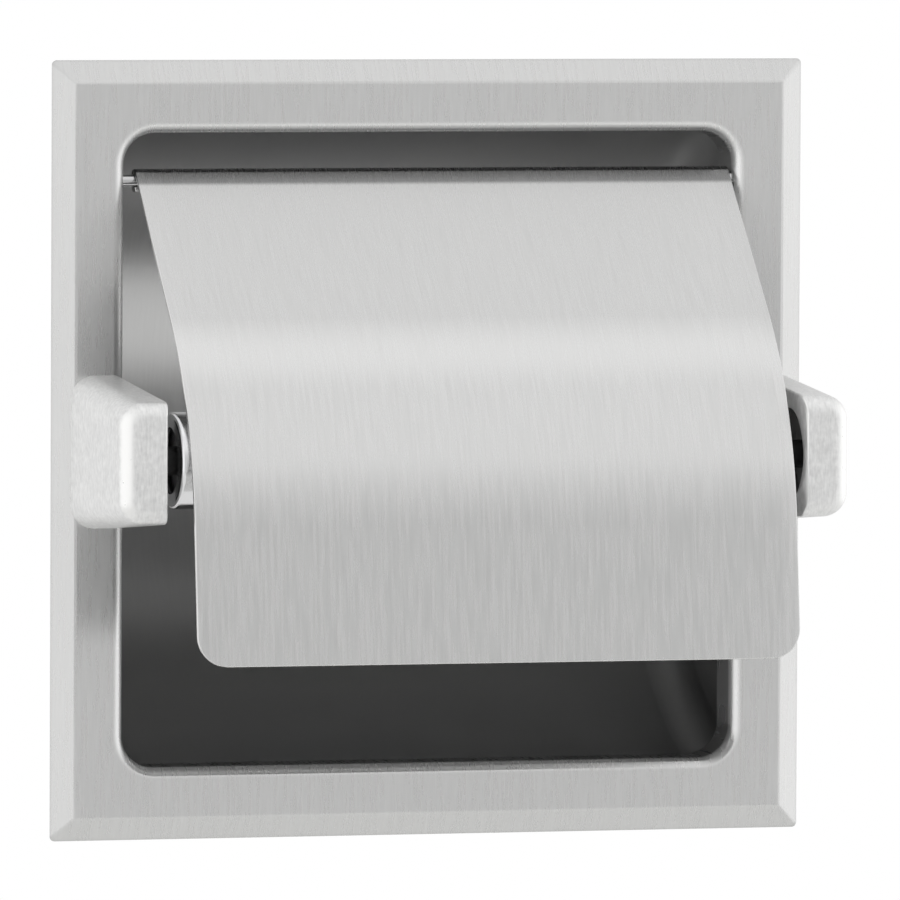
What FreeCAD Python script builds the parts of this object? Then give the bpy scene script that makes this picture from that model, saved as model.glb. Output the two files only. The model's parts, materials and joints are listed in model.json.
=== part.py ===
import FreeCAD
import Part
import math
import os

# Recessed toilet paper dispenser with a hinged hood, in millimetres.
# +Z is up, +X is to the right of someone facing the wall, +Y points into the wall.
# The origin is the centre of the face flange, on the wall plane.

# Face flange: drawn sheet with a bevelled rim, a rolled lip and a short collar.
flange_size = 155.6
flange_sheet = 0.8
flange_projection = 2.6
flange_corner_r = 1.0
bevel_inset = 4.5
bevel_corner_r = 0.6
bevel_edge_r = 1.2
flange_border = 14.5
opening_corner_r = 6.5
lip_r = 2.3
collar_depth = 8.0

# Recess: curved wrap and two pressed ends, lapped on the outside of the collar.
recess_sheet = 0.8
recess_depth = 56.0
recess_bend_r = 10.0
lap_length = 5.2
lap_gap = 0.05

# Roll posts: castings screwed to the flange from behind.
post_lip_gap = 1.7
post_width = 9.5
post_reach = 43.2
post_base_height = 30.6
post_tip_height = 23.7
post_side_r = 4.8
post_edge_r = 3.3
post_edge_steps = 6
post_foot_r = 0.8
post_inner_r = 0.4
post_inner_edge = 0.8
pocket_r = 9.2
pocket_depth = 4.0
pin_hole_depth = 3.0
post_screw_offset = 4.6
post_screw_spacing = 16.0
post_screw_grip = 9.0

# Spindle: two telescoping halves, their end plugs and the spring between them.
spindle_reach = 35.0
spindle_end_gap = 2.7
sleeve_d = 19.2
sleeve_past_middle = 21.6
sleeve_rim_r = 0.95
sleeve_mouth_r = 6.6
plunger_d = 16.4
plunger_past_middle = 9.6
plunger_rim_r = 0.95
plunger_mouth_r = 5.4
tube_wall = 0.8
plug_dish = 0.5
plug_length = 5.4
pin_d = 5.6
pin_tip_r = 1.2
collar_length = 3.0
spring_wire_d = 1.0
spring_turns = 9
spring_side_gap = 1.2

# Hood: bent sheet that hangs on a rod and rests on the spindle.
hood_side_gap = 1.7
hood_sheet = 1.0
hood_side_shift = 0.84
hood_flat = 40.0
hood_bend_r = 66.0
hood_bend_deg = 39.5
hood_tail = 27.3
hood_corner_r = 6.0
hood_curl_deg = 255.0
hood_rest_gap = 0.3
rod_d = 2.4
rod_y = 0.9
rod_drop = 9.55
rod_head_d = 3.0
rod_head_height = 0.8
rod_head_edge_r = 0.5
rod_end_gap = 0.25

# Wall clamp: strap behind the recess that grips the back of the wall.
wall_thickness = 16.0
wall_thickness_least = 8.0
clamp_sheet = 2.0
clamp_width = 36.0
clamp_bend_r = 2.5
clamp_foot = 5.2
clamp_side_gap = 1.4
clamp_back_gap = 0.4
clamp_screw_spacing = 24.0

# Screws, nuts and washers.
post_screw_d = 4.0
post_screw_head_d = 6.0
post_screw_head_height = 1.1
post_washer_d = 6.4
post_washer_sheet = 0.4
clamp_screw_d = 5.0
clamp_screw_length = 32.0
clamp_screw_head_d = 9.0
clamp_screw_head_height = 3.0
clamp_washer_d = 11.0
clamp_washer_sheet = 1.0
clamp_nut_across = 8.0
clamp_nut_height = 4.0
head_edge_share = 0.45
driver_width_share = 0.2
driver_length_share = 0.6
driver_depth_share = 0.5

# Fits shared by the pieces.
running_gap = 0.08
seat_gap = 0.03
hinge_gap = 0.15
screw_gap = 0.2
thread_gap = 0.05
end_gap = 0.3
overrun = 2.0

# Places worked out from the sizes above.
opening_half = flange_size / 2 - flange_border
collar_half = opening_half + flange_sheet
mouth_half = collar_half + lap_gap
mouth_corner_r = opening_corner_r + flange_sheet + lap_gap
lap_start = collar_depth - lap_length
post_inner_x = opening_half + post_lip_gap
post_tip_y = -flange_projection - post_reach
post_screw_x = post_inner_x + post_screw_offset
pocket_floor_x = post_inner_x + pocket_depth
pin_tip_x = pocket_floor_x + pin_hole_depth - end_gap
pin_r = pin_d / 2
rim_x = post_inner_x - spindle_end_gap
sleeve_length = rim_x + sleeve_past_middle
plunger_length = rim_x + plunger_past_middle
sleeve_r = sleeve_d / 2
sleeve_bore_r = sleeve_r - tube_wall
plunger_r = plunger_d / 2
plunger_bore_r = plunger_r - tube_wall
hood_width = 2 * (opening_half - hood_side_gap)
rod_z = opening_half - rod_drop
rod_r = rod_d / 2
curl_inner_r = rod_r + hinge_gap
curl_outer_r = curl_inner_r + hood_sheet
clamp_leg_z = mouth_half + recess_sheet + clamp_side_gap
clamp_web_y = recess_depth + recess_sheet + clamp_back_gap + wall_thickness - wall_thickness_least

X_AXIS = FreeCAD.Vector(1, 0, 0)
Y_AXIS = FreeCAD.Vector(0, 1, 0)
Z_AXIS = FreeCAD.Vector(0, 0, 1)
ORIGIN = FreeCAD.Vector(0, 0, 0)
SPINDLE_AXIS = FreeCAD.Vector(0, -spindle_reach, 0)


def side_point(y, z):
    """Point in the plane of symmetry, seen from the side."""
    return FreeCAD.Vector(0, y, z)


def turned_point(x, r):
    """Point of a turned profile, at radius r above the X axis."""
    return FreeCAD.Vector(x, 0, r)


def polar(center, r, deg):
    """Point on a circle in the plane of symmetry, from +Y towards +Z."""
    angle = math.radians(deg)
    return center + side_point(r * math.cos(angle), r * math.sin(angle))


def line(start, end):
    return Part.LineSegment(start, end).toShape()


def arc(center, r, first_deg, last_deg):
    """Arc in the plane of symmetry between two directions."""
    middle = polar(center, r, (first_deg + last_deg) / 2)
    return Part.Arc(polar(center, r, first_deg), middle, polar(center, r, last_deg)).toShape()


def corner_arc(start, corner, end):
    """Quarter round between two points, tangent to the sides that meet at the corner."""
    center = start + end - corner
    middle = center + (corner - center).normalize() * (start - center).Length
    return Part.Arc(start, middle, end).toShape()


def rounded_square(half, corner_r, y):
    """Closed wire of a square with round corners, facing the wall, at depth y."""
    inner = half - corner_r
    edges = []
    for sx, sz in ((1, 1), (-1, 1), (-1, -1), (1, -1)):
        upright = FreeCAD.Vector(sx * half, y, sz * inner)
        level = FreeCAD.Vector(sx * inner, y, sz * half)
        first, last = (upright, level) if sx * sz > 0 else (level, upright)
        if edges:
            edges.append(line(edges[-1].Vertexes[-1].Point, first))
        edges.append(corner_arc(first, FreeCAD.Vector(sx * half, y, sz * half), last))
    edges.append(line(edges[-1].Vertexes[-1].Point, edges[0].Vertexes[0].Point))
    return Part.Wire(edges)


def frustum(front, back):
    return Part.makeLoft([front, back], True, True)


def prism(wire, depth):
    return Part.Face(wire).extrude(Y_AXIS * depth)


def turned(edges):
    """Solid of revolution about the spindle's axis."""
    solid = Part.Face(Part.Wire(edges)).revolve(ORIGIN, X_AXIS, 360)
    return solid.translated(SPINDLE_AXIS)


def rod_along(axis, start, r, length):
    return Part.makeCylinder(r, length, start, axis)


def edges_where(shape, test):
    return [edge for edge in shape.Edges if test(edge)]


def edges_in_plane(shape, axis, value):
    """Edges whose points all lie at one coordinate of an axis."""
    low, high = value - seat_gap / 2, value + seat_gap / 2

    def inside(edge):
        box = edge.BoundBox
        first = {"x": box.XMin, "y": box.YMin, "z": box.ZMin}[axis]
        last = {"x": box.XMax, "y": box.YMax, "z": box.ZMax}[axis]
        return low < first and last < high

    return edges_where(shape, inside)


def mirrored(shape):
    return shape.mirror(ORIGIN, X_AXIS)


def both_sides(shape):
    return [shape, mirrored(shape)]


def face_flange():
    half = flange_size / 2
    face_half = half - bevel_inset
    back_y = flange_sheet - flange_projection
    slope = bevel_inset / flange_projection
    rim = flange_sheet * math.hypot(bevel_inset, flange_projection) / flange_projection
    skin = frustum(
        rounded_square(half, flange_corner_r, 0),
        rounded_square(face_half, bevel_corner_r, -flange_projection),
    )
    skin = skin.makeFillet(bevel_edge_r, edges_in_plane(skin, "y", -flange_projection))
    hollow_half = half - rim
    hollow_face_half = hollow_half + slope * back_y
    hollow = frustum(
        rounded_square(hollow_half, flange_corner_r, 0),
        rounded_square(hollow_face_half, bevel_corner_r, back_y),
    )
    collar = prism(
        rounded_square(collar_half, opening_corner_r + flange_sheet, back_y),
        collar_depth - back_y,
    )
    sheet = skin.cut(hollow).fuse(collar).removeSplitter()
    opening = prism(
        rounded_square(opening_half, opening_corner_r, -flange_projection - overrun),
        flange_projection + collar_depth + 2 * overrun,
    )
    sheet = sheet.cut(opening)

    def around_collar(edge):
        box = edge.BoundBox
        return max(abs(box.XMin), abs(box.XMax), abs(box.ZMin), abs(box.ZMax)) < mouth_half

    rear = [edge for edge in edges_in_plane(sheet, "y", back_y) if around_collar(edge)]
    sheet = sheet.makeFillet(lip_r - flange_sheet, rear)
    front = [edge for edge in edges_in_plane(sheet, "y", -flange_projection) if around_collar(edge)]
    sheet = sheet.makeFillet(lip_r, front)
    for start in post_screw_places(-flange_projection - overrun):
        sheet = sheet.cut(rod_along(Y_AXIS, start, post_screw_d / 2 + screw_gap, 2 * overrun))
    rod_start = FreeCAD.Vector(-collar_half - overrun, rod_y, rod_z)
    return sheet.cut(rod_along(X_AXIS, rod_start, rod_r + seat_gap, 2 * (collar_half + overrun)))


def recess_back_r():
    """Radius of the bowed back that runs on from the bends above and below."""
    bend_z = mouth_half - recess_bend_r
    run = recess_depth - collar_depth
    return (run ** 2 + bend_z ** 2 - recess_bend_r ** 2) / (2 * (run - recess_bend_r))


def recess_profile(offset, mouth_y):
    """Side profile of the recess: level mouth, a bend above and below, and a bowed back."""
    bend_z = mouth_half - recess_bend_r
    back_r = recess_back_r()
    back_center = side_point(recess_depth - back_r, 0)
    top_center = side_point(collar_depth, bend_z)
    low_center = side_point(collar_depth, -bend_z)
    turn = math.degrees(math.atan2(bend_z, collar_depth - recess_depth + back_r))
    bend_r = recess_bend_r + offset
    top = mouth_half + offset
    return Part.Wire([
        line(side_point(mouth_y, -top), side_point(mouth_y, top)),
        line(side_point(mouth_y, top), side_point(collar_depth, top)),
        arc(top_center, bend_r, 90, turn),
        arc(back_center, back_r + offset, turn, -turn),
        arc(low_center, bend_r, -turn, -90),
        line(side_point(collar_depth, -top), side_point(mouth_y, -top)),
    ])


def recess_block(offset, mouth_y):
    """Solid inside the recess's skin at an offset, with its side edges rounded."""
    half = mouth_half + offset
    block = Part.Face(recess_profile(offset, mouth_y)).extrude(X_AXIS * 2 * half)
    block.translate(X_AXIS * -half)

    def on_side(edge):
        box = edge.BoundBox
        return box.XLength < seat_gap and box.YMax > mouth_y + seat_gap

    return block.makeFillet(mouth_corner_r + offset, edges_where(block, on_side))


def recess_pieces():
    """Curved wrap and the right-hand pressed end."""
    shell = recess_block(recess_sheet, lap_start).cut(recess_block(0, lap_start - overrun))
    for start in clamp_screw_places(0):
        hole_r = clamp_screw_d / 2 + screw_gap
        shell = shell.cut(rod_along(Y_AXIS, start, hole_r, recess_depth + overrun))
    seam_x = mouth_half - mouth_corner_r
    reach = recess_depth + mouth_half
    corner = FreeCAD.Vector(-seam_x, -reach, -reach)
    middle = Part.makeBox(2 * seam_x, 2 * reach, 2 * reach, corner)
    right = Part.makeBox(reach, 2 * reach, 2 * reach, corner + X_AXIS * 2 * seam_x)
    return shell.common(middle), shell.common(right)


def post_screw_places(y):
    """Starts of the four post screws at depth y."""
    places = []
    for sx in (-1, 1):
        for sz in (-1, 1):
            places.append(FreeCAD.Vector(sx * post_screw_x, y, sz * post_screw_spacing / 2))
    return places


def clamp_screw_places(y):
    """Starts of the two clamp screws at depth y."""
    return [FreeCAD.Vector(sx * clamp_screw_spacing / 2, y, 0) for sx in (-1, 1)]


def post_section(y, inset):
    """Closed wire round a post at depth y, drawn in by inset, and less on its inner side."""
    taper = (post_base_height - post_tip_height) / 2 / post_reach
    half = post_tip_height / 2 + taper * (y - post_tip_y) - inset
    inner_x = post_inner_x + post_inner_edge * inset / post_edge_r
    outer_x = post_inner_x + post_width - inset
    side_r = post_side_r - inset
    corners = (
        (inner_x, -half, post_inner_r, 1),
        (outer_x, -half, side_r, -1),
        (outer_x, half, side_r, -1),
        (inner_x, half, post_inner_r, 1),
    )
    edges = []
    for number, (x, z, r, inward) in enumerate(corners):
        level = FreeCAD.Vector(x + inward * r, y, z)
        upright = FreeCAD.Vector(x, y, z - math.copysign(r, z))
        first, last = (upright, level) if number % 2 == 0 else (level, upright)
        if edges:
            edges.append(line(edges[-1].Vertexes[-1].Point, first))
        edges.append(corner_arc(first, FreeCAD.Vector(x, y, z), last))
    edges.append(line(edges[-1].Vertexes[-1].Point, edges[0].Vertexes[0].Point))
    return Part.Wire(edges)


def post_block():
    """Tapered post whose tip is rounded off above, below and on its outer side."""
    nose = []
    for step in range(post_edge_steps + 1):
        angle = math.pi / 2 * step / post_edge_steps
        y = post_tip_y + post_edge_r * (1 - math.sin(angle))
        nose.append(post_section(y, post_edge_r * (1 - math.cos(angle))))
    stem = [post_section(-flange_projection, 0), nose[0]]
    return Part.makeLoft(stem, True, True).fuse(Part.makeLoft(nose, True, False)).removeSplitter()


def post():
    """Right-hand roll post with a pocket for the spindle's end and a hole for its pin."""
    base_y = -flange_projection
    block = post_block()

    def off_inner_face(edge):
        return edge.BoundBox.XMax > post_inner_x + seat_gap

    foot = edges_in_plane(block, "y", base_y)
    block = block.makeFillet(post_foot_r, [edge for edge in foot if off_inner_face(edge)])
    hole_start = SPINDLE_AXIS + X_AXIS * (post_inner_x - overrun)
    block = block.cut(rod_along(X_AXIS, hole_start, pocket_r, pocket_depth + overrun))
    hole_length = pocket_depth + pin_hole_depth + overrun
    block = block.cut(rod_along(X_AXIS, hole_start, pin_r + running_gap, hole_length))
    for start in post_screw_places(base_y + overrun):
        hole_r = post_screw_d / 2 + thread_gap
        block = block.cut(rod_along(-Y_AXIS, start, hole_r, post_screw_grip + 2 * overrun))
    return block


def driver_recess(head_r, head_height):
    """Cross recess of a screw head, sunk from the plane y = 0 towards +Y."""
    width = 2 * head_r * driver_width_share
    length = 2 * head_r * driver_length_share
    depth = head_height * driver_depth_share
    bars = []
    for across, tall in ((length, width), (width, length)):
        corner = FreeCAD.Vector(-across / 2, -overrun, -tall / 2)
        bars.append(Part.makeBox(across, depth + overrun, tall, corner))
    return bars[0].fuse(bars[1])


def machine_screw(shank_d, length, head_d, head_height):
    """Pan-head screw along +Y: its head's top at y = -head_height, its shank from y = 0."""
    head = rod_along(Y_AXIS, Y_AXIS * -head_height, head_d / 2, head_height)
    rim = edges_in_plane(head, "y", -head_height)
    head = head.makeFillet(head_height * head_edge_share, rim)
    head = head.cut(driver_recess(head_d / 2, head_height).translated(Y_AXIS * -head_height))
    return head.fuse(rod_along(Y_AXIS, ORIGIN, shank_d / 2, length)).removeSplitter()


def washer(outer_d, bore_r, sheet):
    ring = rod_along(Y_AXIS, ORIGIN, outer_d / 2, sheet)
    return ring.cut(rod_along(Y_AXIS, Y_AXIS * -overrun, bore_r, sheet + 2 * overrun))


def post_fasteners():
    """Four screws with washers, put in from behind the flange's face."""
    length = post_washer_sheet + flange_sheet + post_screw_grip
    screw = machine_screw(post_screw_d, length, post_screw_head_d, post_screw_head_height)
    screw.rotate(ORIGIN, Z_AXIS, 180)
    ring = washer(post_washer_d, post_screw_d / 2 + screw_gap, post_washer_sheet)
    sheet_y = flange_sheet - flange_projection
    rings = [ring.translated(place) for place in post_screw_places(sheet_y)]
    screws = [screw.translated(place) for place in post_screw_places(sheet_y + post_washer_sheet)]
    return Part.makeCompound(screws), Part.makeCompound(rings)


def hinge_rod():
    """Thin rod across the collar, its ends headed over on the outside."""
    half = collar_half + rod_end_gap
    rod = rod_along(X_AXIS, FreeCAD.Vector(-half, rod_y, rod_z), rod_r, 2 * half)
    head_start = FreeCAD.Vector(half, rod_y, rod_z)
    head = rod_along(X_AXIS, head_start, rod_head_d / 2, rod_head_height)
    rim = edges_in_plane(head, "x", half + rod_head_height)
    head = head.makeFillet(rod_head_edge_r, rim)
    for piece in both_sides(head):
        rod = rod.fuse(piece)
    return rod.removeSplitter()


def hood_bend_center():
    """Centre of the hood's bend from the rod's axis, with the upper flat held upright."""
    return side_point(hood_bend_r - curl_outer_r, -hood_flat)


def hood_rest_deg():
    """Turn about +X that brings the upright hood down onto the spindle."""
    bend = hood_bend_center()
    spindle = SPINDLE_AXIS - side_point(rod_y, rod_z)
    reach = hood_bend_r - hood_sheet - sleeve_r - hood_rest_gap
    cosine = (bend.Length ** 2 + spindle.Length ** 2 - reach ** 2) / (2 * bend.Length * spindle.Length)
    between = math.degrees(math.acos(cosine))
    spindle_deg = math.degrees(math.atan2(spindle.z, spindle.y)) % 360
    bend_deg = math.degrees(math.atan2(bend.z, bend.y)) % 360
    return spindle_deg + between - bend_deg


def hood():
    """Sheet with a curl round the rod, an upper flat, one wide bend and a lower flat."""
    axis = side_point(0, 0)
    bend = hood_bend_center()
    curl_last = 180 - hood_curl_deg
    bend_last = 180 + hood_bend_deg
    bend_inner_r = hood_bend_r - hood_sheet
    tail = polar(axis, hood_tail, bend_last + 90)
    outer_knee = polar(bend, hood_bend_r, bend_last)
    inner_knee = polar(bend, bend_inner_r, bend_last)
    flat_low = axis - Z_AXIS * hood_flat
    section = Part.Wire([
        arc(axis, curl_outer_r, curl_last, 180),
        line(polar(axis, curl_outer_r, 180), flat_low - Y_AXIS * curl_outer_r),
        arc(bend, hood_bend_r, 180, bend_last),
        line(outer_knee, outer_knee + tail),
        line(outer_knee + tail, inner_knee + tail),
        line(inner_knee + tail, inner_knee),
        arc(bend, bend_inner_r, bend_last, 180),
        line(flat_low - Y_AXIS * curl_inner_r, polar(axis, curl_inner_r, 180)),
        arc(axis, curl_inner_r, 180, curl_last),
        line(polar(axis, curl_inner_r, curl_last), polar(axis, curl_outer_r, curl_last)),
    ])
    sheet = Part.Face(section).extrude(X_AXIS * hood_width)
    middle = (outer_knee + inner_knee) / 2 + tail

    def at_corner(edge):
        box = edge.BoundBox
        near = (box.Center - middle - X_AXIS * box.Center.x).Length < seat_gap
        return near and box.XLength < seat_gap

    sheet = sheet.makeFillet(hood_corner_r, edges_where(sheet, at_corner))
    sheet.rotate(ORIGIN, X_AXIS, hood_rest_deg())
    return sheet.translated(FreeCAD.Vector(hood_side_shift - hood_width / 2, rod_y, rod_z))


def polyline(points):
    return [line(first, last) for first, last in zip(points, points[1:])]


def end_tube(tube_r, rim_r, mouth_r, far_edges, far_outer, far_inner):
    """Tube whose outer end, towards +X, is turned in to a mouth; far_edges close its other end."""
    wall_x = rim_x - tube_wall
    shoulder = turned_point(rim_x - rim_r, tube_r)
    rim = turned_point(rim_x, tube_r - rim_r)
    inside = [
        turned_point(rim_x, mouth_r),
        turned_point(wall_x, mouth_r),
        turned_point(wall_x, tube_r - tube_wall),
    ]
    outside = [line(far_outer, shoulder), corner_arc(shoulder, turned_point(rim_x, tube_r), rim)]
    return turned(outside + polyline([rim] + inside + [far_inner]) + far_edges)


def spindle_sleeve():
    """Left half: tube with a rolled rim outside and a turned-in lip that keeps the plunger."""
    far_x = rim_x - sleeve_length
    far_outer = turned_point(far_x, sleeve_r)
    far_inner = turned_point(far_x + tube_wall, sleeve_bore_r)
    lip_bore_r = plunger_r + running_gap
    far_edges = polyline([
        far_inner,
        turned_point(far_x + tube_wall, lip_bore_r),
        turned_point(far_x, lip_bore_r),
        far_outer,
    ])
    return mirrored(end_tube(sleeve_r, sleeve_rim_r, sleeve_mouth_r, far_edges, far_outer, far_inner))


def spindle_plunger():
    """Right half: drawn cup with a rolled rim outside and a guide collar at its closed end."""
    far_x = rim_x - plunger_length
    guide_r = sleeve_bore_r - running_gap
    guide_x = far_x + collar_length
    far_outer = turned_point(guide_x, plunger_r)
    far_inner = turned_point(far_x + tube_wall, plunger_bore_r)
    far_edges = polyline([
        far_inner,
        turned_point(far_x + tube_wall, 0),
        turned_point(far_x, 0),
        turned_point(far_x, guide_r),
        turned_point(guide_x, guide_r),
        far_outer,
    ])
    return end_tube(plunger_r, plunger_rim_r, plunger_mouth_r, far_edges, far_outer, far_inner)


def end_plug(tube_r, mouth_r):
    """Turned plug behind the mouth of a tube, with the stub pin that sits in a post."""
    body_r = tube_r - tube_wall - seat_gap
    dish_r = mouth_r - seat_gap
    wall_x = rim_x - tube_wall
    dish_x = wall_x - plug_dish
    back_x = wall_x - plug_length
    tip_r = pin_r - pin_tip_r
    return turned(polyline([
        turned_point(back_x, 0),
        turned_point(back_x, body_r),
        turned_point(wall_x, body_r),
        turned_point(wall_x, dish_r),
        turned_point(dish_x, dish_r),
        turned_point(dish_x, pin_r),
        turned_point(pin_tip_x - pin_tip_r, pin_r),
        turned_point(pin_tip_x, tip_r),
        turned_point(pin_tip_x, 0),
        turned_point(back_x, 0),
    ]))


def half_arc(start, corner, end):
    """Arc between two points, tangent to the two lines that meet at the corner."""
    chord_middle = (start + end) / 2
    rise = corner - chord_middle
    half_chord = (end - start).Length / 2
    sagitta = half_chord * math.tan(math.atan2(rise.Length, half_chord) / 2)
    return Part.Arc(start, chord_middle + rise.normalize() * sagitta, end).toShape()


def biarc(start, start_way, end, end_way):
    """Two tangent arcs between two points with given directions."""
    span = end - start
    ways = start_way + end_way
    spread = 2 * (1 - start_way.dot(end_way))
    along = span.dot(ways)
    reach = (math.sqrt(along ** 2 + spread * span.dot(span)) - along) / spread
    first_corner = start + start_way * reach
    last_corner = end - end_way * reach
    joint = (first_corner + last_corner) / 2
    return [half_arc(start, first_corner, joint), half_arc(joint, last_corner, end)]


def spindle_spring():
    """Open coil between the sleeve's plug and the plunger's closed end."""
    wire_r = spring_wire_d / 2
    coil_r = sleeve_bore_r - spring_side_gap - wire_r
    first_x = tube_wall + plug_length - rim_x + wire_r + running_gap
    last_x = rim_x - plunger_length - wire_r - running_gap
    pitch = (last_x - first_x) / spring_turns
    climb = pitch / (2 * math.pi * coil_r)
    print("spring gap between turns", round(pitch - spring_wire_d, 2))

    def at(quarter):
        angle = quarter * math.pi / 2
        across = side_point(coil_r * math.cos(angle), coil_r * math.sin(angle))
        place = across + X_AXIS * (first_x + pitch * quarter / 4)
        way = FreeCAD.Vector(climb, -math.sin(angle), math.cos(angle)).normalize()
        return place, way

    edges = []
    for quarter in range(4 * spring_turns):
        start, start_way = at(quarter)
        end, end_way = at(quarter + 1)
        edges += biarc(start, start_way, end, end_way)
    start, start_way = at(0)
    ring = Part.Wire(Part.Circle(start, start_way, wire_r).toShape())
    coil = Part.Wire(edges).makePipeShell([ring], True, False)
    return coil.translated(SPINDLE_AXIS)


def clamp_strap():
    """Strap bent round the recess from above to below, with feet turned out on the wall's back."""
    foot_z = clamp_leg_z + clamp_sheet + clamp_foot
    middle_leg = clamp_leg_z + clamp_sheet / 2
    path = [
        side_point(wall_thickness + clamp_sheet / 2, foot_z),
        side_point(wall_thickness + clamp_sheet / 2, middle_leg),
        side_point(clamp_web_y + clamp_sheet / 2, middle_leg),
        side_point(clamp_web_y + clamp_sheet / 2, -middle_leg),
        side_point(wall_thickness + clamp_sheet / 2, -middle_leg),
        side_point(wall_thickness + clamp_sheet / 2, -foot_z),
    ]
    bend_r = clamp_bend_r + clamp_sheet / 2
    edges = []
    start = path[0]
    for before, corner, after in zip(path, path[1:], path[2:]):
        into = corner - (corner - before).normalize() * bend_r
        out = corner + (after - corner).normalize() * bend_r
        edges.append(line(start, into))
        edges.append(corner_arc(into, corner, out))
        start = out
    edges.append(line(start, path[-1]))
    half_y = Y_AXIS * clamp_sheet / 2
    half_x = X_AXIS * clamp_width / 2
    corners = [path[0] - half_y - half_x, path[0] - half_y + half_x]
    corners += [path[0] + half_y + half_x, path[0] + half_y - half_x]
    section = Part.makePolygon(corners + corners[:1])
    strap = Part.Wire(edges).makePipeShell([section], True, False)
    for start in clamp_screw_places(clamp_web_y - overrun):
        hole_r = clamp_screw_d / 2 + screw_gap
        strap = strap.cut(rod_along(Y_AXIS, start, hole_r, clamp_sheet + 2 * overrun))
    return strap


def hexagon_nut(across, height, bore_r):
    corner_r = across / math.sqrt(3)
    points = []
    for corner in range(7):
        angle = corner * math.pi / 3
        points.append(FreeCAD.Vector(corner_r * math.cos(angle), 0, corner_r * math.sin(angle)))
    nut = Part.Face(Part.makePolygon(points)).extrude(Y_AXIS * height)
    return nut.cut(rod_along(Y_AXIS, Y_AXIS * -overrun, bore_r, height + 2 * overrun))


def clamp_fasteners():
    """Two screws and washers inside the recess, and the nuts fixed on the strap."""
    back_r = recess_back_r()
    bow = back_r - math.sqrt(back_r ** 2 - (clamp_washer_d / 2) ** 2)
    back_y = recess_depth - bow - seat_gap - clamp_washer_sheet
    screw = machine_screw(
        clamp_screw_d, clamp_screw_length, clamp_screw_head_d, clamp_screw_head_height
    )
    ring = washer(clamp_washer_d, clamp_screw_d / 2 + screw_gap, clamp_washer_sheet)
    nut = hexagon_nut(clamp_nut_across, clamp_nut_height, clamp_screw_d / 2 + running_gap)
    nut_y = clamp_web_y + clamp_sheet
    screws = [screw.translated(place) for place in clamp_screw_places(back_y)]
    rings = [ring.translated(place) for place in clamp_screw_places(back_y)]
    nuts = [nut.translated(place) for place in clamp_screw_places(nut_y)]
    return Part.makeCompound(screws), Part.makeCompound(rings), Part.makeCompound(nuts)


def all_pieces():
    wrap, end_right = recess_pieces()
    post_right = post()
    post_screws, post_washers = post_fasteners()
    clamp_screws, clamp_washers, clamp_nuts = clamp_fasteners()
    return {
        "face_flange": face_flange(),
        "recess_wrap": wrap,
        "recess_end_left": mirrored(end_right),
        "recess_end_right": end_right,
        "post_left": mirrored(post_right),
        "post_right": post_right,
        "post_screws": post_screws,
        "post_washers": post_washers,
        "hinge_rod": hinge_rod(),
        "hood": hood(),
        "spindle_sleeve": spindle_sleeve(),
        "sleeve_plug": mirrored(end_plug(sleeve_r, sleeve_mouth_r)),
        "spindle_plunger": spindle_plunger(),
        "plunger_plug": end_plug(plunger_r, plunger_mouth_r),
        "spindle_spring": spindle_spring(),
        "wall_clamp": clamp_strap(),
        "clamp_screws": clamp_screws,
        "clamp_washers": clamp_washers,
        "clamp_nuts": clamp_nuts,
    }


os.makedirs("parts", exist_ok=True)
for name, shape in all_pieces().items():
    shape.exportStep("parts/" + name + ".step")
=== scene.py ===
import json
import math

import bpy
from mathutils import Matrix, Vector


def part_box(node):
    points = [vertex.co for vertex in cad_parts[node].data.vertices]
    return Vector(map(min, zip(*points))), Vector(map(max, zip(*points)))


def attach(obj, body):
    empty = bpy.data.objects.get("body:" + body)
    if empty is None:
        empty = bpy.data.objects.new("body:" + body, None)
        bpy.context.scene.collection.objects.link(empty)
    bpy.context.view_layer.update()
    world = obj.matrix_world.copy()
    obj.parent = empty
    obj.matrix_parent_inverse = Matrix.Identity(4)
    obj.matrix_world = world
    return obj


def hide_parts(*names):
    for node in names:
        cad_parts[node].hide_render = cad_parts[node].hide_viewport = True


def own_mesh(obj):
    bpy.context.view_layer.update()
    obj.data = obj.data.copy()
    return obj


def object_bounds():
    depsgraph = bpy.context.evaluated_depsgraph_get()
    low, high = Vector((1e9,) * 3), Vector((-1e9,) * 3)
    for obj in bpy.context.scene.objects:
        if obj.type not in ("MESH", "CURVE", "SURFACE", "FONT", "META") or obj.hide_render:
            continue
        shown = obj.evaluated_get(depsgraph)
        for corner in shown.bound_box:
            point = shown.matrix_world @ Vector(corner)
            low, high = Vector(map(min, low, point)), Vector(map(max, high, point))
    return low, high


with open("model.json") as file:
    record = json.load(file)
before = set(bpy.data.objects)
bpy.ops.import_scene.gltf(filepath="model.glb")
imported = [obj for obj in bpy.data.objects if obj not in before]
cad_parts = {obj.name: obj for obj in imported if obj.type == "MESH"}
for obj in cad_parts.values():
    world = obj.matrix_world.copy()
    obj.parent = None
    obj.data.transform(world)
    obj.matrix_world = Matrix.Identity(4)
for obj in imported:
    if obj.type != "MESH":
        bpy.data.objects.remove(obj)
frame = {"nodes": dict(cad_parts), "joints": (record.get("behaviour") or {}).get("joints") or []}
cad_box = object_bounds()
nodes = frame["nodes"]
joints = {joint["name"]: joint for joint in frame["joints"]}

MM = 0.001
QUARTER_TURN = math.pi / 2


def grey(level):
    return (level, level, level, 1.0)


# Camera: a long lens to the left of the middle and a little above it.
camera_distance = 2.517
camera_azimuth = math.radians(15.64)
camera_elevation = math.radians(3.30)
camera_roll = math.radians(0.275)
camera_lens = 502.2
camera_sensor = 36.0
camera_near = 0.1
camera_far = 50.0
camera_aim_right = 4.47 * MM
camera_aim_up = -0.54 * MM

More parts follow.
